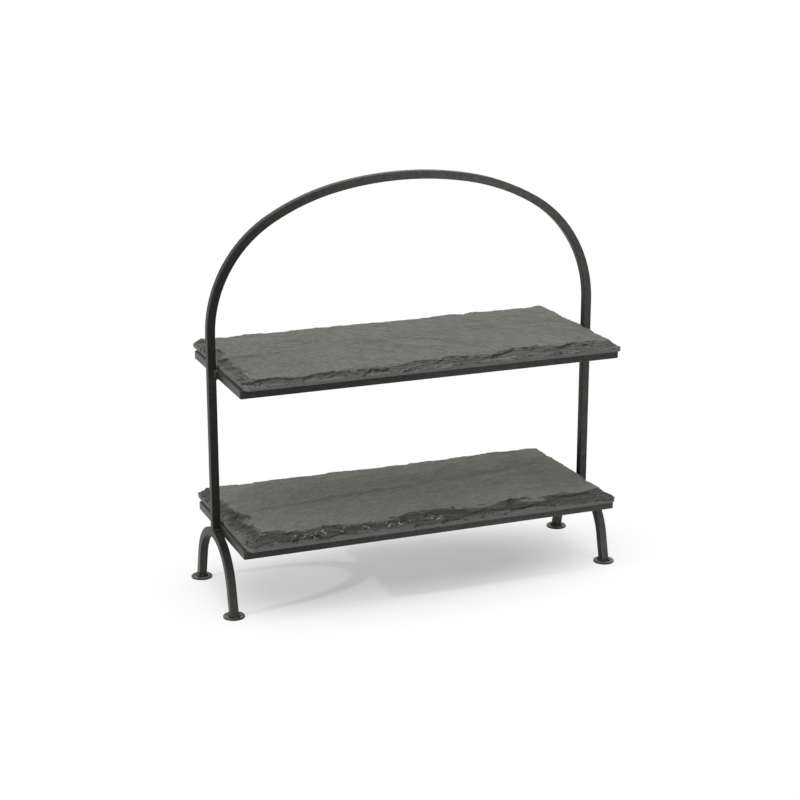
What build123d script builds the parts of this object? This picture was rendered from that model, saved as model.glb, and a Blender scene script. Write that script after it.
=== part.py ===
from build123d import *
import math
import os

# Two-tier serving stand: a bent square-bar handle on two arched legs, two welded
# bar frames between the uprights, and a loose riven slate lying on each frame.
# Millimetres. X runs along the stand, Y from front to rear, Z up from the floor.

# Square bar
bar_side = 10.0             # side of the bar that the whole stand is welded from
bar_arris = 0.6             # width taken off the rolled bar's long edges

# Handle
stand_length = 508.0        # over the outer faces of the two uprights
straight_above = 41.8       # straight length of the uprights above the upper frame
shoulder_radius = 161.0     # outside radius of the two shoulder bends
shoulder_turn = 60.0        # degrees that each shoulder bend turns
haunch_radius = 293.0       # outside radius of the easier bends above the shoulders
haunch_turn = 19.0          # degrees that each of those turns

# Legs
leg_height = 88.0           # floor to the top of a leg's bend
leg_radius = 63.0           # centreline radius of a leg's bend
leg_splay = 14.5            # degrees that the straight ends lean from upright

# Feet
foot_diameter = 26.5
foot_thickness = 2.0
foot_arris = 0.6            # taken off the upper edge of a foot

# Shelf frames
frame_depth = 192.0
frame_shift = 5.3           # how far the frames stand forward of the uprights
frame_drop = 4.5            # from a leg's top down to the lower frame's underside
tier_rise = 197.5           # from the lower frame up to the upper one
frame_corner = 2.0          # rounding of a frame's ground outer corners

# Slates
slate_thickness = 11.0
slate_rim = 4.5             # thickness left at the knapped rim
slate_end_gap = 2.0         # mean gap from a slate's end to the upright
slate_shift = 1.0           # how far the slates lie off centre, to the right
slate_skew = 1.5            # how far a slate's ends lean out of square, to the right at the front
front_overhang = 6.5        # how far a slate stands proud of the front rail
rear_overhang = 20.5        # how far it stands out behind the rear rail
flake_pitch = 75.0          # mean distance between blows along the rim
flake_radius = 320.0        # radius of the shallow hollow that a blow leaves
corner_flake_radius = 70.0  # radius of the hollow that breaks a corner off
flake_sway = 0.28           # share by which the flakes' widths vary

# Widths of the knapped bands, from the rim in to the flat top
upper_front_band = 16.0
upper_end_band = 15.0
upper_rear_band = 9.0
lower_front_band = 27.0
lower_end_band = 21.0
lower_rear_band = 10.0

# Corners broken off the slates' outlines
upper_corners = {"front_left": 4.0, "front_right": 5.0, "rear_right": 15.0, "rear_left": 8.0}
lower_corners = {"front_left": 5.0, "front_right": 4.0, "rear_right": 18.0, "rear_left": 9.0}

# Welds
frame_bead = 4.4            # reach of the ripple beads beside the uprights
under_bead = 3.2            # reach of the beads under the end rails
leg_bead_length = 16.0      # bead under each end rail of the lower frame
crown_bead = 2.6            # reach of the beads where an upright stands on its leg
ripple_pitch = 3.0          # distance from ripple to ripple along a bead
ripple_depth = 0.5          # depth of the furrows between ripples
foot_fillet = 2.4           # reach of the fillet round a leg's end

# Worked out from the above
upright_x = stand_length / 2 - bar_side / 2
frame_length = stand_length - 2 * bar_side
lower_frame_height = leg_height - frame_drop
upper_frame_height = lower_frame_height + tier_rise
spring_height = upper_frame_height + bar_side + straight_above
slate_length = frame_length - 2 * slate_end_gap
slate_depth = frame_depth + front_overhang + rear_overhang
frame_y = (front_overhang - rear_overhang) / 2
upright_y = frame_y + frame_shift


def bar_section():
    """Square bar with its four arrises taken off."""
    square = Rectangle(bar_side, bar_side)
    return chamfer(square.vertices(), bar_arris)


def bent_handle():
    """One bar: two uprights, and bends that ease from the shoulders to the flat top."""
    shoulder = shoulder_radius - bar_side / 2
    haunch = haunch_radius - bar_side / 2
    crown_turn = shoulder_turn + haunch_turn
    shoulder_x = upright_x - shoulder
    haunch_x = shoulder_x - (haunch - shoulder) * math.cos(math.radians(shoulder_turn))
    haunch_z = spring_height - (haunch - shoulder) * math.sin(math.radians(shoulder_turn))
    crown = haunch + haunch_x / math.cos(math.radians(crown_turn))
    crown_z = haunch_z - haunch_x * math.tan(math.radians(crown_turn))
    path = Plane.XZ * (
        Line((-upright_x, leg_height), (-upright_x, spring_height))
        + CenterArc((-shoulder_x, spring_height), shoulder, 180, -shoulder_turn)
        + CenterArc((-haunch_x, haunch_z), haunch, 180 - shoulder_turn, -haunch_turn)
        + CenterArc((0, crown_z), crown, 180 - crown_turn, 2 * crown_turn - 180)
        + CenterArc((haunch_x, haunch_z), haunch, crown_turn, -haunch_turn)
        + CenterArc((shoulder_x, spring_height), shoulder, shoulder_turn, -shoulder_turn)
        + Line((upright_x, spring_height), (upright_x, leg_height))
    )
    section = Pos(-upright_x, 0, leg_height) * bar_section()
    return Pos(0, upright_y, 0) * sweep(section, path=path)


def leg_foot_offset():
    """Distance from the uprights' plane to the middle of a leg's end, on its foot."""
    splay = math.radians(leg_splay)
    bend_centre = leg_height - bar_side / 2 - leg_radius
    tangent_height = bend_centre + leg_radius * math.sin(splay)
    return leg_radius * math.cos(splay) + (tangent_height - foot_thickness) * math.tan(splay)


def bent_leg(side):
    """An inverted U with splayed ends, cut level where it meets the feet."""
    splay = math.radians(leg_splay)
    bend_centre = leg_height - bar_side / 2 - leg_radius
    tangent = (leg_radius * math.cos(splay), bend_centre + leg_radius * math.sin(splay))
    low = -bar_side
    end = (tangent[0] + (tangent[1] - low) * math.tan(splay), low)
    path = Plane.YZ * (
        Line((-end[0], end[1]), (-tangent[0], tangent[1]))
        + CenterArc((0, bend_centre), leg_radius, 180 - leg_splay, 2 * leg_splay - 180)
        + Line((tangent[0], tangent[1]), (end[0], end[1]))
    )
    start = Plane(origin=path @ 0, x_dir=(1, 0, 0), z_dir=path % 0)
    bar = sweep(start * bar_section(), path=path)
    below = Box(
        2 * bar_side, 4 * end[0], 4 * bar_side, align=(Align.CENTER, Align.CENTER, Align.MAX)
    )
    bar = bar - Pos(0, 0, foot_thickness) * below
    return Pos(side * upright_x, upright_y, 0) * bar


def foot_disc(side, end):
    """A thin round pad under one end of a leg."""
    disc = Cylinder(
        foot_diameter / 2, foot_thickness, align=(Align.CENTER, Align.CENTER, Align.MIN)
    )
    disc = chamfer(disc.edges().group_by(Axis.Z)[-1], foot_arris)
    return Pos(side * upright_x, upright_y + end * leg_foot_offset(), 0) * disc


def foot_weld(side, end, leg):
    """A sloping fillet all round the end of a leg, on its foot."""
    end_depth = bar_side / math.cos(math.radians(leg_splay))
    skirt = Rectangle(bar_side + 2 * foot_fillet, end_depth + 2 * foot_fillet)
    skirt = chamfer(skirt.vertices(), 1.1 * foot_fillet)
    ring = extrude(skirt, amount=foot_fillet, taper=45)
    place = Pos(side * upright_x, upright_y + end * leg_foot_offset(), foot_thickness)
    return place * ring - leg


def shelf_frame(height):
    """Front, rear, left and right rails of one frame, mitred at the corners."""
    half_length = frame_length / 2
    half_depth = frame_depth / 2
    outline = RectangleRounded(frame_length, frame_depth, frame_corner)
    hole = Rectangle(frame_length - 2 * bar_side, frame_depth - 2 * bar_side)
    ring = extrude(outline - hole, amount=bar_side)
    level_edges = ring.edges().filter_by(Axis.Z, reverse=True)
    ring = chamfer(level_edges, bar_arris)
    outer = [
        (-half_length, -half_depth),
        (half_length, -half_depth),
        (half_length, half_depth),
        (-half_length, half_depth),
    ]
    inner = [
        (x - math.copysign(bar_side, x), y - math.copysign(bar_side, y)) for x, y in outer
    ]
    rails = {}
    for index, side in enumerate(("front", "right", "rear", "left")):
        after = (index + 1) % 4
        wedge = Polygon(outer[index], outer[after], inner[after], inner[index], align=None)
        rail = ring & extrude(wedge, amount=bar_side)
        rails[side] = Pos(0, frame_y, height) * rail
    return rails


def ripple_bead(length, reach):
    """A weld bead standing in a square corner, along Z, in the quarter +X, +Y."""
    ripples = max(2, round(length / ripple_pitch))
    sections = []
    for step in range(2 * ripples + 1):
        toe = reach if step % 2 else reach - ripple_depth
        crest = toe * math.sin(math.radians(45))
        outline = Polygon((0, 0), (toe, 0), (crest, crest), (0, toe), align=None)
        sections.append(Pos(0, 0, step * length / (2 * ripples)) * outline)
    return loft(sections, ruled=True)


def beside_beads(side):
    """Two upright beads, before and behind an upright, against the upper end rail."""
    bead = ripple_bead(bar_side, frame_bead)
    quarter_turns = {(1, 1): 0, (-1, 1): 90, (-1, -1): 180, (1, -1): 270}
    beads = []
    for end in (-1, 1):
        corner = Pos(side * frame_length / 2, upright_y + end * bar_side / 2, upper_frame_height)
        beads.append(corner * Rot(0, 0, quarter_turns[(side, end)]) * bead)
    return beads


def bead_under_rail(side, height, length):
    """A level bead under an end rail, against the inner face of the upright or leg."""
    bead = ripple_bead(length, under_bead)
    inward = Rot(0, 0, 90) * bead if side > 0 else bead
    return Pos(side * frame_length / 2, upright_y - length / 2, height) * Rot(-90, 0, 0) * inward


def crown_weld(side, leg):
    """Two beads across the bar, where the end of an upright stands on its leg."""
    length = bar_side - 2 * bar_arris
    top_radius = leg_radius + bar_side / 2
    reach = bar_side / 2 + crown_bead
    fall = top_radius - math.sqrt(top_radius**2 - reach**2)
    across = Pos(length / 2, bar_side / 2, 0) * Rot(0, -90, 0) * ripple_bead(length, crown_bead)
    place = Pos(side * upright_x, upright_y, leg_height - fall)
    rear = place * across
    front = place * mirror(across, Plane.XZ)
    return Compound(children=[front - leg, rear - leg])


def flake(point, inward, width, radius):
    """The ball whose surface is one blow's hollow, from the flat top out to the rim."""
    drop = slate_thickness - slate_rim
    chord = math.hypot(width, drop)
    away = math.sqrt(radius**2 - (chord / 2) ** 2)
    level = width / 2 - away * drop / chord
    height = slate_thickness - drop / 2 + away * width / chord
    centre = point + inward * level
    return Pos(centre.X, centre.Y, height) * Sphere(radius)


def knapped_slate(front_band, end_band, rear_band, corners, phase):
    """A slab with its corners broken off and its rim thinned by a row of blows."""
    half_length = slate_length / 2
    half_depth = slate_depth / 2
    bands = (front_band, end_band, rear_band, end_band)
    turns = {"front_left": (-1, -1), "front_right": (1, -1), "rear_right": (1, 1), "rear_left": (-1, 1)}
    outline = []
    corner_points = []
    for name, (x, y) in turns.items():
        corner = Vector(x * half_length - y * slate_skew / 2, y * half_depth)
        along_x = corner - Vector(x * corners[name], 0)
        along_y = corner - Vector(0, y * corners[name])
        pair = [along_y, along_x] if x * y > 0 else [along_x, along_y]
        outline += pair
        corner_points.append(((pair[0] + pair[1]) / 2, Vector(-x, -y).normalized(), corners[name]))
    slab = extrude(Polygon(*outline, align=None), amount=slate_thickness)
    blows = []
    for index, band in enumerate(bands):
        start = outline[2 * index + 1]
        finish = outline[(2 * index + 2) % len(outline)]
        run = finish - start
        inward = Vector(-run.Y, run.X).normalized()
        count = max(2, round(run.length / flake_pitch))
        for number in range(count):
            sway = math.sin(2.4 * number + 1.7 * index + phase)
            place = start + run * ((number + 0.5 + 0.2 * sway) / count)
            width = band * (1 + flake_sway * math.sin(4.1 * number + index + phase))
            blows.append(flake(place, inward, width, flake_radius))
    for point, inward, broken in corner_points:
        blows.append(flake(point, inward, end_band + broken / 2, corner_flake_radius))
    for blow in blows:
        slab = slab - blow
    return slab


def placed_slate(slate, frame_height):
    """A slate lying on the top of its frame."""
    return Pos(slate_shift, 0, frame_height + bar_side) * slate


nodes = {"handle_arch": bent_handle()}
legs = {"left": -1, "right": 1}
ends = {"front": -1, "rear": 1}
for leg_name, side in legs.items():
    leg = bent_leg(side)
    nodes[f"{leg_name}_leg"] = leg
    nodes[f"{leg_name}_crown_weld"] = crown_weld(side, leg)
    under_upright = bead_under_rail(side, upper_frame_height, bar_side - 2 * bar_arris)
    nodes[f"upper_{leg_name}_weld"] = Compound(children=[*beside_beads(side), under_upright])
    nodes[f"lower_{leg_name}_weld"] = bead_under_rail(side, lower_frame_height, leg_bead_length)
    for end_name, end in ends.items():
        nodes[f"{leg_name}_{end_name}_foot"] = foot_disc(side, end)
        nodes[f"{leg_name}_{end_name}_foot_weld"] = foot_weld(side, end, leg)
for tier, height in {"upper": upper_frame_height, "lower": lower_frame_height}.items():
    for side_name, rail in shelf_frame(height).items():
        nodes[f"{tier}_{side_name}_rail"] = rail
upper = knapped_slate(upper_front_band, upper_end_band, upper_rear_band, upper_corners, 0.4)
lower = knapped_slate(lower_front_band, lower_end_band, lower_rear_band, lower_corners, 2.9)
nodes["upper_slate"] = placed_slate(upper, upper_frame_height)
nodes["lower_slate"] = placed_slate(lower, lower_frame_height)

os.makedirs("parts", exist_ok=True)
for name, shape in nodes.items():
    export_step(shape, f"parts/{name}.step")
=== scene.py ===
import math
import random

import bmesh
import bpy
import numpy as np
from bpy.props import FloatProperty, FloatVectorProperty, PointerProperty
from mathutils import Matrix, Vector, noise


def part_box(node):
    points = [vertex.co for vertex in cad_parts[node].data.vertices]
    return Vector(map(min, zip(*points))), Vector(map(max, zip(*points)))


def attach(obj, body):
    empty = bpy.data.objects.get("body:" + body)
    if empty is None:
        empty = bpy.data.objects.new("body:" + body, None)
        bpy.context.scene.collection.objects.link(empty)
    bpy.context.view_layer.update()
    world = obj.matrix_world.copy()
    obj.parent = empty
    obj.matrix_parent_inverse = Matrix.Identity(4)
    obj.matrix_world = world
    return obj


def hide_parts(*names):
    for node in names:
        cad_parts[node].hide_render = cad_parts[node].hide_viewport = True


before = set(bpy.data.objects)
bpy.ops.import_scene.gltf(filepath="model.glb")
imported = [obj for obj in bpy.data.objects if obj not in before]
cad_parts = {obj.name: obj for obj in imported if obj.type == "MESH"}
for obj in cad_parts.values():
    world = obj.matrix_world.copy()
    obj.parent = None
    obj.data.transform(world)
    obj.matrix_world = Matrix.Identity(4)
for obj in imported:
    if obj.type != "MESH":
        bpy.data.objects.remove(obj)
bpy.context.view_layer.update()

bl_info = {
    "name": "Two-tier slate stand",
    "version": (1, 0, 0),
    "blender": (4, 5, 0),
    "location": "3D View > Sidebar > Slate stand",
    "description": "Dresses a welded bar stand with riven slates, weld beads and satin black paint",
    "category": "Object",
}

# One millimetre, in the scene's metres
MM = 0.001


# Settings


class SlateSettings(bpy.types.PropertyGroup):
    """Sizes and colours that both slates share."""

    rim: FloatProperty(
        name="Rim",
        description="Thickness left at the knapped edge",
        default=4.6 * MM,
        unit="LENGTH",
    )
    lamina: FloatProperty(
        name="Lamina",
        description="Thickness of the layers that the stone splits in",
        default=1.5 * MM,
        unit="LENGTH",
    )
    ripple: FloatProperty(
        name="Ripple",
        description="Height of the cleft ripples on the flat top",
        default=0.45 * MM,
        unit="LENGTH",
    )
    skew: FloatProperty(
        name="Skew",
        description="How far the ends lean out of square, to the right at the front",
        default=1.5 * MM,
        unit="LENGTH",
    )
    fine_step: FloatProperty(
        name="Fine step",
        description="Mesh spacing over the knapped edges",
        default=0.6 * MM,
        unit="LENGTH",
    )
    coarse_step: FloatProperty(
        name="Coarse step",
        description="Mesh spacing over the flat top",
        default=1.3 * MM,
        unit="LENGTH",
    )
    top_colour: FloatVectorProperty(
        name="Top",
        description="Cleft top of the stone",
        default=(0.124, 0.1255, 0.104),
        subtype="COLOR",
    )
    scar_colour: FloatVectorProperty(
        name="Scars",
        description="Freshly broken stone",
        default=(0.076, 0.0805, 0.068),
        subtype="COLOR",
    )
    # Bluish stone low on the edge, drawn lighter as a painted sheen of the light it catches
    rim_and_sheen_colour: FloatVectorProperty(
        name="Rim",
        description="Bluish stone low on the edge",
        default=(0.134, 0.145, 0.129),
        subtype="COLOR",
    )
    # Painted shade: near-black laid on the steep breaks
    break_shade_colour: FloatVectorProperty(
        name="Risers",
        description="Steep fresh breaks",
        default=(0.022, 0.022, 0.020),
        subtype="COLOR",
    )
    scuff_colour: FloatVectorProperty(
        name="Scuffs",
        description="Pale bruises of the stone",
        default=(0.62, 0.63, 0.60),
        subtype="COLOR",
    )


class SteelSettings(bpy.types.PropertyGroup):
    """Colours and roughness of the painted bars."""

    paint: FloatVectorProperty(
        name="Paint",
        description="Satin black paint",
        default=(0.0230, 0.0230, 0.0208),
        subtype="COLOR",
    )
    # Painted sheen: the lighter grey that stands in for the lights' reflections on the bars
    sheen_paint: FloatVectorProperty(
        name="Dulled paint",
        description="Paint greyed by handling",
        default=(0.108, 0.109, 0.097),
        subtype="COLOR",
    )
    worn: FloatVectorProperty(
        name="Worn",
        description="Rubbed arrises and scratches",
        default=(0.095, 0.092, 0.080),
        subtype="COLOR",
    )
    tarnish: FloatVectorProperty(
        name="Tarnish",
        description="Brown bloom on feet and welds",
        default=(0.225, 0.212, 0.164),
        subtype="COLOR",
    )
    roughness: FloatProperty(
        name="Roughness",
        description="Roughness of the paint",
        default=0.30,
        min=0,
        max=1,
        subtype="FACTOR",
    )
    gloss: FloatProperty(
        name="Gloss",
        description="Mirror strength of the paint, seen square on",
        default=0.10,
        min=0,
        max=1,
    )


class StageSettings(bpy.types.PropertyGroup):
    """Floor, light and camera."""

    floor_colour: FloatVectorProperty(
        name="Floor",
        description="Pale floor",
        default=(0.98, 0.98, 0.98),
        subtype="COLOR",
    )
    floor_glow: FloatProperty(
        name="Floor glow",
        description="Share of plain white that a viewer sees in the floor",
        default=0.38,
        min=0,
        max=1,
        subtype="FACTOR",
    )
    shade_middle: FloatVectorProperty(
        name="Shade middle",
        description="Middle of the shaded oval of the floor",
        default=(-0.023, -0.006, 0),
        unit="LENGTH",
    )
    shade_reach: FloatVectorProperty(
        name="Shade reach",
        description="Half the length and width of the oval, past which the floor is white",
        default=(0.437, 0.214, 1.0),
        unit="LENGTH",
    )
    front_sky: FloatProperty(
        name="Front sky",
        description="Soft light from the front and the right",
        default=0.22,
        min=0,
        max=1,
    )
    back_sky: FloatProperty(
        name="Back sky",
        description="Soft light from the back and the left",
        default=0.62,
        min=0,
        max=1,
    )
    top_level: FloatProperty(
        name="Top light",
        description="Soft light from above",
        default=1.64,
        min=0,
    )
    top_spread: FloatProperty(
        name="Top spread",
        description="Angle that the top light fills",
        default=math.radians(60),
        subtype="ANGLE",
    )
    side_level: FloatProperty(
        name="Side light",
        description="Low light from the left",
        default=1.1,
        min=0,
    )
    side_spread: FloatProperty(
        name="Side spread",
        description="Angle that the side light fills",
        default=math.radians(1.5),
        subtype="ANGLE",
    )
    target: FloatVectorProperty(
        name="Target",
        description="Point that the camera looks at",
        default=(-0.0066, -0.0017, 0.2262),
        unit="LENGTH",
    )
    azimuth: FloatProperty(
        name="Azimuth",
        description="Turn of the camera to the left of the front",
        default=math.radians(21.58),
        subtype="ANGLE",
    )
    elevation: FloatProperty(
        name="Elevation",
        description="Height of the camera",
        default=math.radians(16.73),
        subtype="ANGLE",
    )
    distance: FloatProperty(
        name="Distance",
        description="Camera to target",
        default=2.4213,
        unit="LENGTH",
    )
    lens: FloatProperty(
        name="Lens",
        description="Focal length, in millimetres, on a sensor of the size below",
        default=87.41,
    )
    sensor: FloatProperty(
        name="Sensor",
        description="Width of the camera's sensor, in millimetres",
        default=36.0,
    )


# Shader wiring


class Wire:
    """A shader socket. Arithmetic on it adds Math nodes, and node() adds any other node."""

    def __init__(self, tree, socket=None):
        self.tree = tree
        self.socket = socket

    def node(self, kind, settings=None, sockets=None, output=0):
        """A new node of that kind: its settings first, then values and links of its sockets."""
        made = self.tree.nodes.new(kind)
        for name, value in (settings or {}).items():
            setattr(made, name, value)
        for name, value in (sockets or {}).items():
            if isinstance(value, Wire):
                self.tree.links.new(value.socket, made.inputs[name])
            else:
                made.inputs[name].default_value = value
        return Wire(self.tree, made.outputs[output]) if len(made.outputs) else made

    def math(self, operation, *operands):
        return self.node("ShaderNodeMath", {"operation": operation}, dict(enumerate(operands)))

    def vector(self, operation, *operands, output=0):
        inputs = dict(enumerate(operands))
        return self.node("ShaderNodeVectorMath", {"operation": operation}, inputs, output)

    def measure(self, operation, *operands):
        """The number that some vector operations give: LENGTH and DOT_PRODUCT."""
        return self.vector(operation, *operands, output=1)

    def __add__(self, other):
        return self.math("ADD", self, other)

    def __sub__(self, other):
        return self.math("SUBTRACT", self, other)

    def __rsub__(self, other):
        return self.math("SUBTRACT", other, self)

    def __mul__(self, other):
        return self.math("MULTIPLY", self, other)

    def __pow__(self, other):
        return self.math("POWER", self, other)

    __radd__ = __add__
    __rmul__ = __mul__

    def ramp(self, low, high):
        """0 below low, 1 above high, and smooth between."""
        return self.node(
            "ShaderNodeMapRange",
            {"interpolation_type": "SMOOTHSTEP"},
            {"Value": self, "From Min": low, "From Max": high},
        )

    def tint(self, low_colour, high_colour):
        """A colour that goes from the first to the second as this value goes from 0 to 1."""
        return self.node(
            "ShaderNodeMix",
            {"data_type": "RGBA"},
            {0: self, 6: shade(low_colour), 7: shade(high_colour)},
            output=2,
        )

    def part(self, axis):
        """The X, Y or Z part of a vector."""
        return self.node("ShaderNodeSeparateXYZ", None, {0: self}, output="XYZ".index(axis))

    def clouds(self, scale, detail=4.0, roughness=0.55, stretch=(1, 1, 1)):
        """Noise, from 0 to 1, at so many lumps a metre, over this vector."""
        place = self.vector("MULTIPLY", self, stretch)
        return self.node(
            "ShaderNodeTexNoise",
            None,
            {"Vector": place, "Scale": scale, "Detail": detail, "Roughness": roughness},
        )

    def turned(self, angle):
        """This vector, turned about Z."""
        return self.node("ShaderNodeMapping", None, {"Vector": self, "Rotation": (0, 0, angle)})

    def distance(self, centre, reach):
        """Distance of this place from a centre: 1 at the reach that each axis has."""
        away = self.vector("SUBTRACT", self, centre)
        return self.measure("LENGTH", self.vector("DIVIDE", away, reach))

    def round_centre(self, centre):
        """This place as the way along the rings about a centre, the way across them, and Z."""
        away = self.vector("SUBTRACT", self, (*centre, 0))
        over, back = away.part("X"), away.part("Y")
        along = over.math("ARCTAN2", over, back) * math.hypot(*centre)
        across = (over * over + back * back) ** 0.5
        return self.node("ShaderNodeCombineXYZ", None, {0: along, 1: across, 2: away.part("Z")})


def shade(colour):
    """A colour as a socket takes it: a wire as it is, or three numbers with alpha."""
    return colour if isinstance(colour, Wire) else (*colour, 1.0)


def scaled(colour, factor):
    """A colour made darker or lighter."""
    return [factor * part for part in colour]


def new_material(name):
    """An empty material, with the wire that its nodes are added from."""
    material = bpy.data.materials.new(name)
    material.use_nodes = True
    material.node_tree.nodes.clear()
    return material, Wire(material.node_tree)


def finish_material(wire, surface):
    wire.node("ShaderNodeOutputMaterial", None, {"Surface": surface})


def seen_rays(wire):
    """1 for rays that show a surface to a viewer, straight, mirrored or through glass, else 0."""
    seen = wire.node("ShaderNodeLightPath", output="Is Camera Ray")
    for kind in ("Is Glossy Ray", "Is Transmission Ray"):
        seen = seen.math("MAXIMUM", seen, wire.node("ShaderNodeLightPath", output=kind))
    return seen


# Finishes


def slate_finish(name, settings, look):
    """Cleft grey stone: mottled top, darker broken edges with painted shade on the steep breaks,
    a bluish rim lightened as a painted sheen, and pale scuffs.
    """
    material, wire = new_material(name)
    place = wire.node("ShaderNodeTexCoord", output="Object")
    scar, break_shade, low = (
        wire.node("ShaderNodeAttribute", {"attribute_name": attribute}, output="Fac")
        for attribute in ("scar", "break_shade", "low")
    )

    # Noise, from broad to fine: the ringed kinds run along the grain
    ringed = place.round_centre(look["grain_centre"])
    streak = (look["streak"], 1, 1)
    mottle = place.clouds(14, 5, 0.6)
    grain = ringed.clouds(70, 6, 0.7, streak)
    veins = ringed.clouds(170, 4, 0.65, streak)
    fine = ringed.clouds(330, 3, 0.6, streak)
    speck = place.clouds(900, 3, 0.7)

    # The top, then the broken stone over it, the rim with its painted sheen, and the painted shade
    # on the risers
    contrast, tone, scar_tone = look["contrast"], look["tone"], look["scar_tone"]
    top = (mottle * 0.16 + grain * 0.16 + veins * 0.30 + fine * 0.38).ramp(0.40, 0.60)
    colour = top.tint(
        scaled(settings.top_colour, (1 - 0.34 * contrast) * tone),
        scaled(settings.top_colour, (1 + 0.28 * contrast) * tone),
    )
    broken = (veins * 0.6 + speck * 0.4).ramp(0.3, 0.7).tint(
        scaled(settings.scar_colour, 0.72 * scar_tone),
        scaled(settings.scar_colour, 1.28 * scar_tone),
    )
    colour = scar.ramp(0.0, 0.45).tint(colour, broken)
    # Bluish rim, lightened as a painted sheen
    colour = (low * (0.7 + 0.3 * mottle)).tint(colour, settings.rim_and_sheen_colour)
    # Painted shade on the steep breaks
    colour = (break_shade * (0.65 + 0.5 * veins)).tint(colour, settings.break_shade_colour)

    if look["scuffs"]:
        # Thin lines where the noise crosses its middle, broken up, and only within the bruises
        wander = place.turned(math.radians(-32)).clouds(85, 3, 0.6, (0.5, 1, 1)) - 0.5
        line = 1 - wander.math("ABSOLUTE", wander).ramp(0.004, 0.022)
        dashes = place.clouds(160, 2, 0.5).ramp(0.50, 0.58)
        bruise = 0.0
        for centre, reach in look["scuffs"]:
            spot = 1 - place.distance(centre, reach).ramp(0.5, 1.0)
            bruise = spot.math("MAXIMUM", spot, bruise)
        colour = (bruise * line * dashes).tint(colour, settings.scuff_colour)

    rough = 0.50 + 0.16 * mottle + 0.10 * speck - 0.05 * low
    relief = grain * 0.7 + veins * 0.7 + fine * 0.55 + speck * 0.2
    normal = wire.node(
        "ShaderNodeBump",
        None,
        {"Strength": 1.0, "Distance": 2.2 * look["cleft"] * MM, "Height": relief},
    )
    surface = wire.node(
        "ShaderNodeBsdfPrincipled",
        None,
        {"Base Color": colour, "Roughness": rough, "Normal": normal, "Specular IOR Level": 0.4},
    )
    finish_material(wire, surface)
    return material


def steel_finish(name, settings, sheen_share=0.0, grey=0.0, gloss=1.0, brown=0.0, lumps=0.0):
    """Satin black paint over rolled bar, rubbed on the arrises.

    The two after settings set how far the paint is drawn lighter, as a painted sheen of the
    lights: by place, and all over. gloss is the share of the paint's own gloss, brown the bloom
    on faces that look up, made stronger to the right as a painted sheen, and lumps what is added
    to the dents.
    """
    material, wire = new_material(name)
    place = wire.node("ShaderNodeTexCoord", output="Object")
    facing = wire.node("ShaderNodeNewGeometry", output="Normal")
    softened = wire.node("ShaderNodeBevel", {"samples": 6}, {"Radius": 0.9 * MM})

    # Noise, from broad to fine, and fine scratches
    patches = place.clouds(34, 4, 0.6)
    dents = place.clouds(120, 3, 0.5)
    mottle = place.clouds(190, 5, 0.68)
    peel = place.clouds(750, 3, 0.6)
    scratches = place.turned(math.radians(28)).clouds(420, 2, 0.5, (1, 1, 0.12))

    # Painted sheen: the paint is drawn lighter to the right, on the handle's crest and near the
    # feet, for reflections of the lights, and kept dark as painted shade on faces that look left
    # at the right end
    right = place.part("X").ramp(-0.25, 0.12)
    crest_sheen = place.part("Z").ramp(0.39, 0.51)
    ankle_sheen = 1 - place.part("Z").ramp(0.02, 0.08)
    clear = 1 - 0.9 * right * (facing.part("X") * -1).ramp(0.3, 0.8)
    painted_sheen = 0.15 * crest_sheen + (0.56 * right + 0.45 * ankle_sheen) * clear + 0.10 * right * crest_sheen
    painted_sheen = (painted_sheen * sheen_share + grey) * (0.8 + 0.4 * patches)
    colour = painted_sheen.tint(settings.paint, settings.sheen_paint)
    darker, lighter = (colour.vector("MULTIPLY", colour, (share,) * 3) for share in (0.80, 1.20))
    colour = mottle.ramp(0.30, 0.70).tint(darker, lighter)

    # Where it is rubbed: on arrises, less so underneath, and in the scratches
    arris = 1 - facing.measure("DOT_PRODUCT", facing, softened)
    rubbed = arris.ramp(0.015, 0.12) * (0.25 + 0.75 * patches.ramp(0.4, 0.65))
    rubbed = rubbed * (0.2 + 0.8 * softened.part("Z").ramp(-0.6, 0.2))
    marked = scratches.ramp(0.735, 0.76) * 0.5
    colour = rubbed.math("MAXIMUM", rubbed * 0.55, marked).tint(colour, settings.worn)
    if brown:
        # Brown bloom in patches on faces that look up, made stronger to the right as a painted
        # sheen
        dust_and_sheen = place.clouds(210, 5, 0.7).ramp(0.34, 0.60) + 0.5 * right
        bloom = facing.part("Z").ramp(0.4, 0.9) * dust_and_sheen * brown
        colour = bloom.tint(colour, settings.tarnish)

    rough = settings.roughness - 0.08 + 0.16 * patches + 0.06 * peel
    height = peel * 0.2 + mottle * 0.5 + dents * (0.8 + lumps)
    normal = wire.node(
        "ShaderNodeBump",
        None,
        {"Strength": 0.5, "Distance": 0.35 * MM, "Height": height, "Normal": softened},
    )
    surface = wire.node(
        "ShaderNodeBsdfPrincipled",
        None,
        {
            "Base Color": colour,
            "Roughness": rough,
            "Normal": normal,
            "Specular IOR Level": gloss * settings.gloss,
        },
    )
    finish_material(wire, surface)
    return material


def floor_finish(settings):
    """Pale floor that keeps its shadows, lifted towards white for whoever looks at it."""
    material, wire = new_material("pale_floor")
    place = wire.node("ShaderNodeTexCoord", output="Object")
    away = place.distance(settings.shade_middle, settings.shade_reach)
    glow = settings.floor_glow + (1 - settings.floor_glow) * away.ramp(0.32, 0.966)
    matt = wire.node("ShaderNodeBsdfDiffuse", None, {"Color": shade(settings.floor_colour)})
    white = wire.node("ShaderNodeEmission", None, {"Color": (1, 1, 1, 1), "Strength": 1.0})
    surface = wire.node("ShaderNodeMixShader", None, {0: seen_rays(wire) * glow, 1: matt, 2: white})
    finish_material(wire, surface)
    return material


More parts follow.
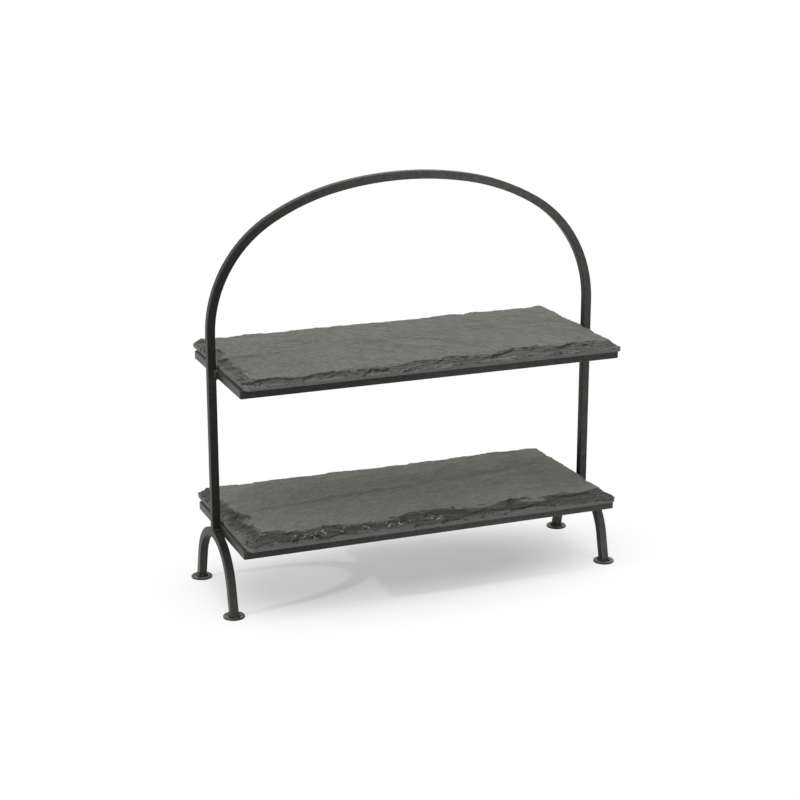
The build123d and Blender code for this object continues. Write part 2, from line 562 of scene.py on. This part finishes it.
def white_surround(settings):
    """Even light for the object, and plain white wherever the surround itself is seen."""
    world = bpy.data.worlds.new("white_surround")
    world.use_nodes = True
    world.node_tree.nodes.clear()
    wire = Wire(world.node_tree)
    way = wire.node("ShaderNodeTexCoord", output="Generated")
    behind = (way.part("Y") * 0.8 - way.part("X") * 0.4).ramp(-0.7, 0.7)
    level = settings.front_sky + behind * (settings.back_sky - settings.front_sky)
    level = level + seen_rays(wire) * (1 - level)
    grey = level.tint((0, 0, 0), (1, 1, 1))
    light = wire.node("ShaderNodeBackground", None, {"Color": grey, "Strength": 1.0})
    wire.node("ShaderNodeOutputWorld", None, {"Surface": light})
    return world


# Slate shapes


# What each kind of noise on a slate adds to its seed, and the size of its lumps in millimetres
NOISE = {
    "outline": (0, 31),
    "ripples": (1, 6),
    "fine_ripples": (2, 2.8),
    "nicks": (4, 9),
    "plates": (5, 12),
    "small_plates": (6, 5),
    "rim": (7, 24),
    "rough": (8, 3.2),
    "fine_rough": (9, 1.7),
    "wander": (11, 60),
    "sheets": (12, 24),
    "sheet_edges": (13, 5),
    "scar_edges": (14, 6),
    "scar_nicks": (15, 2.2),
    "sway": (16, 6),
    "shed": (17, 27),
    "shed_edges": (18, 5),
    "chips": (20, 4),
}

# Each side's ragged inset in millimetres, and the corners at its two ends
SIDES = {
    "front": (0.5, "front_left", "front_right"),
    "rear": (2.0, "rear_left", "rear_right"),
    "left": (0.5, "front_left", "rear_left"),
    "right": (1.6, "front_right", "rear_right"),
}

# Rings of the wall, from the top's edge down: share of the edge's height, and depth of the chips
# in millimetres
WALL = ((0.80, 0.10), (0.60, 0.60), (0.42, 0.10), (0.24, 0.56), (0.07, 0.20), (0.0, 0.90))

# Sheets that are shed from the top at the far sides
SHED_REACH = 18 * MM
SHED_RAGGED = 3 * MM
SHED_THICKNESS = 1.3 * MM
SHED_STEP = 1.2 * MM

# Depth from which a break has its full colour and roughness
BREAK = 0.4 * MM

# Space that is left over the highest point of the top
HEADROOM = 0.05 * MM

# The two slates. Lengths from bands to taper and the blows' half widths are in millimetres.
#   bands         widths of each side's broken edge, from left to right or from front to rear
#   corners       what is broken off a corner along X and along Y
#   tip, taper    how far the right end comes out at the front, and falls back at the rear
#   cleft         strength of the top's relief
#   ragged        raggedness of the scars' edges
#   blows         half widths of the scars, from and to
#   reaches       share of the band that the scars reach over, from and to
#   hollows       how the scars fall: below 1 they are steep at the top
#   contrast      strength of the top's light and dark
#   grain_centre  in metres, the centre of the rings that the grain follows
#   streak        how far the grain is drawn out: 1 is not at all
#   tone          brightness of the top, raised on the lower slate as painted light against
# #                 the upper slate's shadow, and scar_tone that of the scars
#   scuffs        centres and reaches of the bruises, in metres
#   seed          which noise and which blows the slate gets
SLATES = {
    "upper": {
        "bands": {
            "front": (14, 15, 15, 19, 30, 34, 20),
            "right": (8, 4, 4, 5),
            "rear": (4, 6, 5, 8, 5, 6, 5),
            "left": (24, 19, 16, 7),
        },
        "corners": {
            "front_left": (4, 5),
            "front_right": (4, 4),
            "rear_right": (12, 16),
            "rear_left": (3, 3),
        },
        "tip": 3.5,
        "taper": 0.0,
        "cleft": 1.7,
        "ragged": 1.0,
        "blows": (10, 38),
        "reaches": (0.6, 1.2),
        "hollows": (0.4, 1.0),
        "contrast": 0.85,
        "grain_centre": (-0.335, -0.372),
        "streak": 0.44,
        "tone": 1.08,
        "scar_tone": 1.12,
        "scuffs": (),
        "seed": 3,
    },
    "lower": {
        "bands": {
            "front": (35, 31, 27, 36, 31, 33, 34),
            "right": (9, 4, 4, 5),
            "rear": (2, 3, 4, 5, 6, 6, 5),
            "left": (26, 28, 24, 11),
        },
        "corners": {
            "front_left": (5, 6),
            "front_right": (4, 4),
            "rear_right": (30, 12),
            "rear_left": (2, 4),
        },
        "tip": 1.8,
        "taper": 5.5,
        "cleft": 1.0,
        "ragged": 0.5,
        "blows": (16, 48),
        "reaches": (0.85, 1.15),
        "hollows": (0.4, 0.7),
        "contrast": 0.7,
        "grain_centre": (1.04, -4.89),
        "streak": 0.44,
        # Raised as painted light, against the shade that the upper slate casts on this one
        "tone": 1.42,
        "scar_tone": 0.66,
        "scuffs": (
            ((-0.145, -0.094, 0.101), (0.045, 0.014, 0.012)),
            ((-0.060, -0.094, 0.101), (0.040, 0.013, 0.012)),
            ((0.005, -0.092, 0.101), (0.018, 0.010, 0.012)),
        ),
        "seed": 8,
    },
}


def lattice(x, y, size, seed):
    """Smooth noise from about -1 to 1, with lumps of that size, the same on every run."""
    places = zip((x / size).flat, (y / size).flat)
    return np.array([noise.noise((a, b, seed)) for a, b in places]).reshape(x.shape)


def plates(x, y, size, seed):
    """A value from -1 to 1 for each of the irregular plates of that size that tile the plane."""
    values = []
    for a, b in zip((x / size).flat, (y / size).flat):
        nearest = noise.voronoi((a, b, seed))[1][0]
        values.append(2 * noise.cell(97.3 * nearest) - 1)
    return np.array(values).reshape(x.shape)


def smooth(t):
    t = np.clip(t, 0, 1)
    return t * t * (3 - 2 * t)


def spaced(length, near, far, fine, coarse):
    """Places along a length: fine steps near both its ends, coarse ones between."""
    first = np.arange(0, near, fine)
    last = length - np.arange(0, far, fine)[::-1]
    middle = np.linspace(near, length - far, int((length - near - far) / coarse), endpoint=False)
    return np.concatenate([first, middle, last])


class Slate:
    """One knapped slate: a height over a grid that follows its ragged outline."""

    def __init__(self, node, look):
        self.low, self.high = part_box(node)
        self.look = look
        self.settings = bpy.context.scene.slate_settings
        length, depth, self.thickness = (high - low for low, high in zip(self.low, self.high))
        self.lengths = {"front": length, "rear": length, "left": depth, "right": depth}

    def lumps(self, kind, x, y, pattern=lattice):
        """Noise of one kind at places on this slate."""
        number, size = NOISE[kind]
        return pattern(x, y, size * MM, self.look["seed"] + number)

    def band(self, side, along):
        """Width of the knapped band at places from 0 to 1 along a side."""
        widths = np.array(self.look["bands"][side]) * MM
        return np.interp(along, np.linspace(0, 1, len(widths)), widths)

    def inset(self, side, along):
        """How far the ragged outline lies inside the slate's box, along one side."""
        ragged, first, last = SIDES[side]
        length = self.lengths[side]
        place = along * length
        # Each side's outline is a straight walk through the noise
        still = np.full_like(place, len(side) * 3.1)
        wave = 0.6 * self.lumps("outline", place, still) + 0.4 * self.lumps("nicks", place, still)
        inset = (0.45 + ragged * (0.55 + wave).clip(0)) * MM
        across = 1 if side in ("front", "rear") else 0
        for corner, away in ((first, place), (last, length - place)):
            broken = np.array(self.look["corners"][corner]) * MM
            inset = inset + 0.5 * broken[across] * (1 - away / (0.5 * broken[1 - across])).clip(0)
        return inset

    def plan(self):
        """X and Y of the grid, and each point's distance from the sides and place along them."""
        length, depth = self.lengths["front"], self.lengths["left"]
        fine, coarse = self.settings.fine_step, self.settings.coarse_step
        skew, tip, taper = self.settings.skew, self.look["tip"] * MM, self.look["taper"] * MM
        reach = {side: 1.25 * max(widths) * MM for side, widths in self.look["bands"].items()}
        u = spaced(length, reach["left"], reach["right"], fine, coarse) / length
        v = spaced(depth, reach["front"], reach["rear"], fine, coarse) / depth
        left = self.low.x + self.inset("left", v) + skew * (1 - v)
        right = self.high.x - self.inset("right", v) - (skew + taper) * v + tip * (1 - v) ** 4
        front = self.low.y + self.inset("front", u)
        rear = self.high.y - self.inset("rear", u)

        left, right, v = left[:, None], right[:, None], v[:, None]
        x = left + (right - left) * u
        y = front + (rear - front) * v
        distance = {"left": x - left, "right": right - x, "front": y - front, "rear": rear - y}
        u, v = np.broadcast_to(u, x.shape), np.broadcast_to(v, x.shape)
        return x, y, distance, {"left": v, "right": v, "front": u, "rear": u}

    def scars(self, side, distance, along):
        """Share of the drop that the blows along one side take, from 0 on top to 1 at the rim."""
        look, length = self.look, self.lengths[side]
        draw = random.Random(f"{look['seed']}-{side}")
        ragged = 0.13 * self.lumps("scar_edges", along * length / 3, distance)
        ragged += 0.07 * self.lumps("scar_nicks", along * length / 2, distance)
        ragged *= look["ragged"]
        spread = (0.4, 1.4) if side == "rear" else look["reaches"]
        drop = (1 - distance / (0.3 * self.band(side, along))).clip(0, 1) ** 0.8
        place = 0.0
        while place < length:
            half = draw.uniform(*look["blows"]) * MM
            place += half * draw.uniform(0.4, 0.9)
            middle = place / length
            reach = self.band(side, middle) * draw.uniform(*spread)
            lateral = (1 - ((along - middle) * length / half) ** 2).clip(0, 1)
            scar = 1 - distance / (reach * lateral**0.4 * (1 + ragged) + 1e-6)
            drop = np.maximum(drop, scar.clip(0, 1) ** draw.uniform(*look["hollows"]))
        return drop

    def cleft_top(self, x, y):
        """Height of the riven top: ripples along the grain, and the broken edges of thin sheets."""
        ripple = self.settings.ripple * self.look["cleft"]
        centre = self.look["grain_centre"]
        over, back = x - centre[0], y - centre[1]
        along = math.hypot(*centre) * np.arctan2(over, back)
        across = np.hypot(over, back) + 7 * MM * self.lumps("wander", x, y)
        waves = 0.50 * self.lumps("ripples", along / 3.6, across)
        waves += 0.45 * self.lumps("fine_ripples", along / 3, across)
        sheet = 2.2 * self.lumps("sheets", along / 3, across)
        sheet += 0.5 * self.lumps("sheet_edges", along / 2.5, across)
        whole = np.floor(sheet)
        waves += 0.75 * (whole + smooth((sheet - whole) / 0.12))
        return self.thickness - 0.15 * MM - 1.5 * ripple + ripple * waves

    def layered(self, x, y, depth, broken):
        """The depth of the breaks, stepped from one layer of the stone to the next."""
        lamina = self.settings.lamina
        sway = 2.5 * MM * self.lumps("sway", x, y)
        split = 0.75 * self.lumps("plates", x / 2.4 + sway, y + sway, plates)
        split += 0.25 * self.lumps("small_plates", x / 2.2 + sway, y - sway, plates)
        layer = depth / lamina + broken * split
        whole = np.floor(layer)
        face = (0.9 * MM * self.slope(x, y, depth) / lamina).clip(0.09, 0.25)
        stepped = lamina * (whole + smooth((layer - whole) / face))
        return 0.3 * depth + 0.7 * stepped.clip(0)

    def heights(self, x, y, distance, along):
        """Height of the top over the slate's bed, and how deep each point is broken."""
        drop = np.zeros_like(x)
        for side in self.lengths:
            drop = np.maximum(drop, self.scars(side, distance[side], along[side]))
        rim = self.settings.rim
        depth = (self.thickness - rim * (1 + 0.12 * self.lumps("rim", x, y))) * drop
        broken = smooth(depth / BREAK)
        depth = self.layered(x, y, depth, broken)
        knapped = broken * (depth / (self.thickness - rim)).clip(0, 1)
        for side, place in (("rear", x), ("right", y)):
            shed = SHED_REACH * self.lumps("shed", place, np.full_like(x, len(side)))
            shed += SHED_RAGGED * self.lumps("shed_edges", x, y)
            step = smooth((shed - distance[side]) / SHED_STEP)
            depth = np.maximum(depth, SHED_THICKNESS * step)
        rough = self.lumps("rough", x / 2, y) + 0.6 * self.lumps("fine_rough", x, y)
        height = self.cleft_top(x, y) - depth + broken * 0.16 * rough * MM
        return np.clip(height, 0.75 * rim, self.thickness - HEADROOM), knapped

    def slope(self, x, y, height):
        """Slope of a height over the grid: 0 where level, 1 at 45 degrees."""
        down, over = np.gradient(height)
        y_down, _ = np.gradient(y)
        _, x_over = np.gradient(x)
        return np.hypot(down / y_down, over / x_over)

    def wall(self, edge, middle):
        """Rings of points from the top's edge down to the bed, chipped inwards layer by layer."""
        inward = np.roll(edge, -1, 0)[:, :2] - np.roll(edge, 1, 0)[:, :2]
        inward = np.stack([-inward[:, 1], inward[:, 0]], 1)
        inward /= np.linalg.norm(inward, axis=1)[:, None] + 1e-9
        inward *= np.sign(((middle - edge[:, :2]) * inward).sum(1))[:, None]
        rings = []
        for number, (share, back) in enumerate(WALL):
            ring = edge.copy()
            ring[:, 2] = self.low.z + share * (edge[:, 2] - self.low.z)
            chip = 0.5 + 0.5 * self.lumps("chips", edge[:, 0] + edge[:, 1], ring[:, 2] + number)
            ring[:, :2] += inward * (back * chip * MM)[:, None]
            rings.append(ring)
        return rings

    def mesh(self, name):
        """The closed mesh: the grid on top, a layered wall round it and a flat bed."""
        x, y, distance, along = self.plan()
        height, knapped = self.heights(x, y, distance, along)
        steep_shade = smooth((self.slope(x, y, height) - 0.45) / 0.9)
        top = np.stack([x.ravel(), y.ravel(), self.low.z + height.ravel()], 1)
        index = np.arange(x.size).reshape(x.shape)
        loop = np.concatenate([index[0, :-1], index[:-1, -1], index[-1, :0:-1], index[:0:-1, 0]])
        points = np.concatenate([top, *self.wall(top[loop], top[:, :2].mean(0))])

        faces = np.stack([index[:-1, :-1], index[:-1, 1:], index[1:, 1:], index[1:, :-1]], -1)
        faces = faces.reshape(-1, 4).tolist()
        upper = loop
        for number in range(len(WALL)):
            lower = len(top) + number * len(loop) + np.arange(len(loop))
            faces += np.stack([upper, lower, np.roll(lower, -1), np.roll(upper, -1)], 1).tolist()
            upper = lower
        faces.append(upper[::-1].tolist())

        # For the finish: broken stone, steep breaks that get painted shade, and the stone low on
        # the edge that gets a painted sheen
        rim, sides = self.settings.rim, np.ones(len(points) - len(top))
        attributes = {
            "scar": np.concatenate([knapped.ravel(), sides]),
            "break_shade": np.concatenate([steep_shade.ravel(), 0 * sides]),
            "low": smooth(1 - (points[:, 2] - self.low.z - 0.95 * rim) / (0.4 * rim)),
        }
        mesh = bpy.data.meshes.new(name)
        mesh.from_pydata(points.tolist(), [], faces)
        for attribute, values in attributes.items():
            layer = mesh.attributes.new(attribute, "FLOAT", "POINT")
            layer.data.foreach_set("value", values.astype(np.float32))
        mesh.shade_smooth()
        mesh.set_sharp_from_angle(angle=math.radians(48))
        return mesh


def place_piece(name, mesh, material, body, slot, *nodes):
    """Adds a piece to the scene, on the body that carries it, in place of its nodes."""
    piece = bpy.data.objects.new(name, mesh)
    bpy.context.scene.collection.objects.link(piece)
    mesh.materials.append(material)
    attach(piece, body)
    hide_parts(*nodes)


def dress_nodes(material, names):
    """Gives CAD nodes a finish."""
    for name in names:
        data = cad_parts[name].data
        data.materials.clear()
        data.materials.append(material)


# Weld beads


# Points across a bead's round face
FAN = 9

# Spacing of a bead's ripples
RIPPLE = 3 * MM

UP = Vector((0, 0, 1))


def bead(path, reach, ripples, closed=False, seed=0):
    """Points and faces of a rippled quarter-round bead, on a path of a corner and two ways out."""
    points, faces = [], []
    count = len(path)
    for step, (corner, one, other) in enumerate(path):
        share = step / (count if closed else count - 1)
        swell = 0.80 + 0.20 * abs(math.sin(math.pi * share * ripples)) ** 0.7
        if not closed:
            # Thinner at both ends
            swell *= (1 - abs(2 * share - 1) ** 6) ** 0.5 * 0.75 + 0.25
        points.append(corner - 0.05 * reach * (one + other))
        for turn in range(FAN):
            # From 4 degrees inside one bar to 4 degrees inside the other
            angle = math.radians(-4 + 98 * turn / (FAN - 1))
            way = math.cos(angle) * one + math.sin(angle) * other
            lump = noise.noise((corner + reach * way) / (0.8 * reach) + Vector((seed, 0, 0)))
            points.append(corner + way * reach * swell * (0.92 + 0.13 * lump))
    ring = FAN + 1
    for step in range(count if closed else count - 1):
        here, there = step * ring, (step + 1) % count * ring
        for turn in range(ring):
            after = (turn + 1) % ring
            faces.append((here + turn, here + after, there + after, there + turn))
    if not closed:
        faces.append(tuple(range(ring))[::-1])
        faces.append(tuple(range((count - 1) * ring, count * ring)))
    return points, faces


def bead_mesh(name, beads):
    """One mesh of several beads, its faces turned outwards."""
    points, faces = [], []
    for bead_points, bead_faces in beads:
        faces += [tuple(corner + len(points) for corner in face) for face in bead_faces]
        points += bead_points
    mesh = bpy.data.meshes.new(name)
    mesh.from_pydata(points, [], faces)
    turn_outwards(mesh)
    mesh.shade_smooth()
    return mesh


def turn_outwards(mesh):
    """Turns all faces of a closed mesh outwards."""
    work = bmesh.new()
    work.from_mesh(mesh)
    bmesh.ops.recalc_face_normals(work, faces=work.faces)
    work.to_mesh(mesh)
    work.free()


def straight_path(start, finish, one, other, steps=28):
    """Stations of a bead that runs straight along one corner."""
    return [(start.lerp(finish, step / (steps - 1)), one, other) for step in range(steps)]


# Operators


class CAKE_STAND_OT_lay_slates(bpy.types.Operator):
    """Lay the two knapped slates on their frames"""

    bl_idname = "cake_stand.lay_slates"
    bl_label = "Lay slates"

    def execute(self, context):
        settings = context.scene.slate_settings
        for tier, look in SLATES.items():
            name = f"{tier}_slate"
            finish = slate_finish(f"{tier}_stone", settings, look)
            mesh = Slate(name, look).mesh(name)
            place_piece(f"{tier}_riven_slate", mesh, finish, name, "slate", name)
        return {"FINISHED"}


class CAKE_STAND_OT_paint_bars(bpy.types.Operator):
    """Paint the handle, the legs and the rails"""

    bl_idname = "cake_stand.paint_bars"
    bl_label = "Paint bars"

    def execute(self, context):
        settings = context.scene.steel_settings
        finish = steel_finish("bar_paint", settings, sheen_share=1.0, gloss=0.6)
        dress_nodes(finish, ("handle_arch", "left_leg", "right_leg"))
        # The rails get a weaker painted sheen by place, and the lower ones a painted sheen all over
        for tier, sheen_share, grey in (("upper", 0.5, 0.0), ("lower", 0.7, 0.13)):
            finish = steel_finish(f"{tier}_rail_paint", settings, sheen_share, grey, gloss=1.5)
            rails = [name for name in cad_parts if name.startswith(tier)]
            dress_nodes(finish, [name for name in rails if name.endswith("_rail")])
        return {"FINISHED"}


class CAKE_STAND_OT_paint_feet(bpy.types.Operator):
    """Paint the feet, browned on top"""

    bl_idname = "cake_stand.paint_feet"
    bl_label = "Paint feet"

    def execute(self, context):
        finish = steel_finish("foot_paint", context.scene.steel_settings, brown=0.8, lumps=0.8)
        dress_nodes(finish, [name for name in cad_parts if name.endswith("_foot")])
        return {"FINISHED"}


class CAKE_STAND_OT_run_welds(bpy.types.Operator):
    """Run the weld beads between bars, frames and feet"""

    bl_idname = "cake_stand.run_welds"
    bl_label = "Run welds"

    def execute(self, context):
        settings = context.scene.steel_settings
        self.finish = steel_finish("weld_paint", settings, brown=0.25, lumps=1.5)
        low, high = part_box("handle_arch")
        self.faces = ((low.y, Vector((0, -1, 0))), (high.y, Vector((0, 1, 0))))
        for side, out in (("left", Vector((-1, 0, 0))), ("right", Vector((1, 0, 0)))):
            self.beside_upright(f"upper_{side}_weld", f"upper_{side}_rail", out)
            self.under_rail(f"lower_{side}_weld", f"lower_{side}_rail", out)
            self.on_leg(f"{side}_crown_weld")
            for end in ("front", "rear"):
                self.round_leg(f"{side}_{end}_foot_weld")
        return {"FINISHED"}

    def run(self, node, beads):
        """Puts one mesh of beads in place of a weld node."""
        mesh = bead_mesh(f"{node}_beads", beads)
        place_piece(f"{node}_beads", mesh, self.finish, "stand", "weld_steel", node)

    def rail_bead(self, low, high, rail, out):
        """The bead in the corner between a rail's underside and the bar outside it."""
        rail_low, rail_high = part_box(rail)
        face = rail_high.x if out.x > 0 else rail_low.x
        reach = rail_low.z - low.z
        start = Vector((face, low.y, rail_low.z))
        finish = Vector((face, high.y, rail_low.z))
        path = straight_path(start, finish, -out, -UP)
        return bead(path, reach, ripples=(high.y - low.y) / RIPPLE, seed=face)

    def beside_upright(self, node, rail, out):
        """Two upright beads where a rail meets its upright, and one under the rail."""
        low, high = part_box(node)
        rail_low, rail_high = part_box(rail)
        face = rail_high.x if out.x > 0 else rail_low.x
        reach = self.faces[0][0] - low.y
        beads = []
        for y, away in self.faces:
            start = Vector((face, y, rail_low.z))
            finish = Vector((face, y, rail_high.z))
            path = straight_path(start, finish, out, away)
            beads.append(bead(path, reach, ripples=3.3, seed=y + face))
        inner_low, inner_high = low.copy(), high.copy()
        inner_low.y, inner_high.y = self.faces[0][0], self.faces[1][0]
        beads.append(self.rail_bead(inner_low, inner_high, rail, out))
        self.run(node, beads)

    def under_rail(self, node, rail, out):
        """The bead along the top of a leg's bend, under the lower frame."""
        low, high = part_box(node)
        self.run(node, [self.rail_bead(low, high, rail, out)])

    def on_leg(self, node):
        """Beads in front of an upright and behind it, where it stands on its leg."""
        low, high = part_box(node)
        beads = []
        for y, away in self.faces:
            start = Vector((low.x, y, low.z))
            finish = Vector((high.x, y, low.z))
            path = straight_path(start, finish, away, UP)
            beads.append(bead(path, high.z - low.z, ripples=2.7, seed=y + low.x))
        self.run(node, beads)

    def round_leg(self, node):
        """The bead right round a leg's end, on its foot."""
        low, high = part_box(node)
        reach = high.z - low.z
        middle = (low + high) / 2
        half = (high - low) / 2 - Vector((reach, reach, 0))
        # Round a square with soft corners, |x|**8 + |y|**8 = 1
        path, steps, power = [], 56, 8
        for step in range(steps):
            turn = math.tau * step / steps
            circle = (math.cos(turn), math.sin(turn))
            x, y = (math.copysign(abs(part) ** (2 / power), part) for part in circle)
            away = Vector((x ** (power - 1), y ** (power - 1), 0)).normalized()
            path.append((Vector((middle.x + half.x * x, middle.y + half.y * y, low.z)), away, UP))
        self.run(node, [bead(path, reach, ripples=17, closed=True, seed=middle.x + middle.y)])


class CAKE_STAND_OT_set_stage(bpy.types.Operator):
    """Set the floor, the lights and the camera"""

    bl_idname = "cake_stand.set_stage"
    bl_label = "Set stage"

    # Ways from the stand to the lights, and half the floor's width in metres
    TOP_WAY = (-0.10, -0.22, 1.0)
    SIDE_WAY = (-0.917, -0.080, 0.391)
    FLOOR_HALF = 30.0

    def execute(self, context):
        settings = context.scene.stage_settings
        self.floor(settings)
        context.scene.world = white_surround(settings)
        self.sun("top_light", settings.top_level, settings.top_spread, self.TOP_WAY)
        self.sun("side_light", settings.side_level, settings.side_spread, self.SIDE_WAY)
        self.camera(settings)
        context.scene.view_settings.view_transform = "Standard"
        return {"FINISHED"}

    def floor(self, settings):
        half = self.FLOOR_HALF
        mesh = bpy.data.meshes.new("floor")
        corners = [(-half, -half, 0), (half, -half, 0), (half, half, 0), (-half, half, 0)]
        mesh.from_pydata(corners, [], [(0, 1, 2, 3)])
        mesh.materials.append(floor_finish(settings))
        floor = bpy.data.objects.new("floor", mesh)
        bpy.context.scene.collection.objects.link(floor)

    def sun(self, name, level, spread, towards):
        lamp = bpy.data.lights.new(name, "SUN")
        lamp.energy = level
        lamp.angle = spread
        light = bpy.data.objects.new(name, lamp)
        light.rotation_euler = Vector(towards).to_track_quat("Z", "Y").to_euler()
        bpy.context.scene.collection.objects.link(light)

    def camera(self, settings):
        lens = bpy.data.cameras.new("camera")
        lens.lens = settings.lens
        lens.sensor_width = settings.sensor
        camera = bpy.data.objects.new("camera", lens)
        level = math.cos(settings.elevation)
        back = Vector(
            (
                -math.sin(settings.azimuth) * level,
                -math.cos(settings.azimuth) * level,
                math.sin(settings.elevation),
            )
        )
        camera.location = Vector(settings.target) + settings.distance * back
        camera.rotation_euler = back.to_track_quat("Z", "Y").to_euler()
        bpy.context.scene.collection.objects.link(camera)
        bpy.context.scene.camera = camera


OPERATORS = (
    CAKE_STAND_OT_lay_slates,
    CAKE_STAND_OT_paint_bars,
    CAKE_STAND_OT_paint_feet,
    CAKE_STAND_OT_run_welds,
    CAKE_STAND_OT_set_stage,
)


class VIEW3D_PT_cake_stand(bpy.types.Panel):
    """Lists the steps and the settings of the stand"""

    bl_label = "Slate stand"
    bl_space_type = "VIEW_3D"
    bl_region_type = "UI"
    bl_category = "Slate stand"

    def draw(self, context):
        for operator in OPERATORS:
            self.layout.operator(operator.bl_idname)
        for group in SETTINGS:
            box = self.layout.box()
            settings = getattr(context.scene, group)
            for name in settings.bl_rna.properties.keys():
                if name not in ("name", "rna_type"):
                    box.prop(settings, name)


SETTINGS = {
    "slate_settings": SlateSettings,
    "steel_settings": SteelSettings,
    "stage_settings": StageSettings,
}


def register():
    for name, group in SETTINGS.items():
        bpy.utils.register_class(group)
        setattr(bpy.types.Scene, name, PointerProperty(type=group))
    for operator in OPERATORS:
        bpy.utils.register_class(operator)
    bpy.utils.register_class(VIEW3D_PT_cake_stand)


def unregister():
    bpy.utils.unregister_class(VIEW3D_PT_cake_stand)
    for operator in reversed(OPERATORS):
        bpy.utils.unregister_class(operator)
    for name, group in SETTINGS.items():
        delattr(bpy.types.Scene, name)
        bpy.utils.unregister_class(group)


def main():
    register()
    bpy.ops.cake_stand.lay_slates()
    bpy.ops.cake_stand.paint_bars()
    bpy.ops.cake_stand.paint_feet()
    bpy.ops.cake_stand.run_welds()
    bpy.ops.cake_stand.set_stage()


if __name__ == "__main__":
    main()
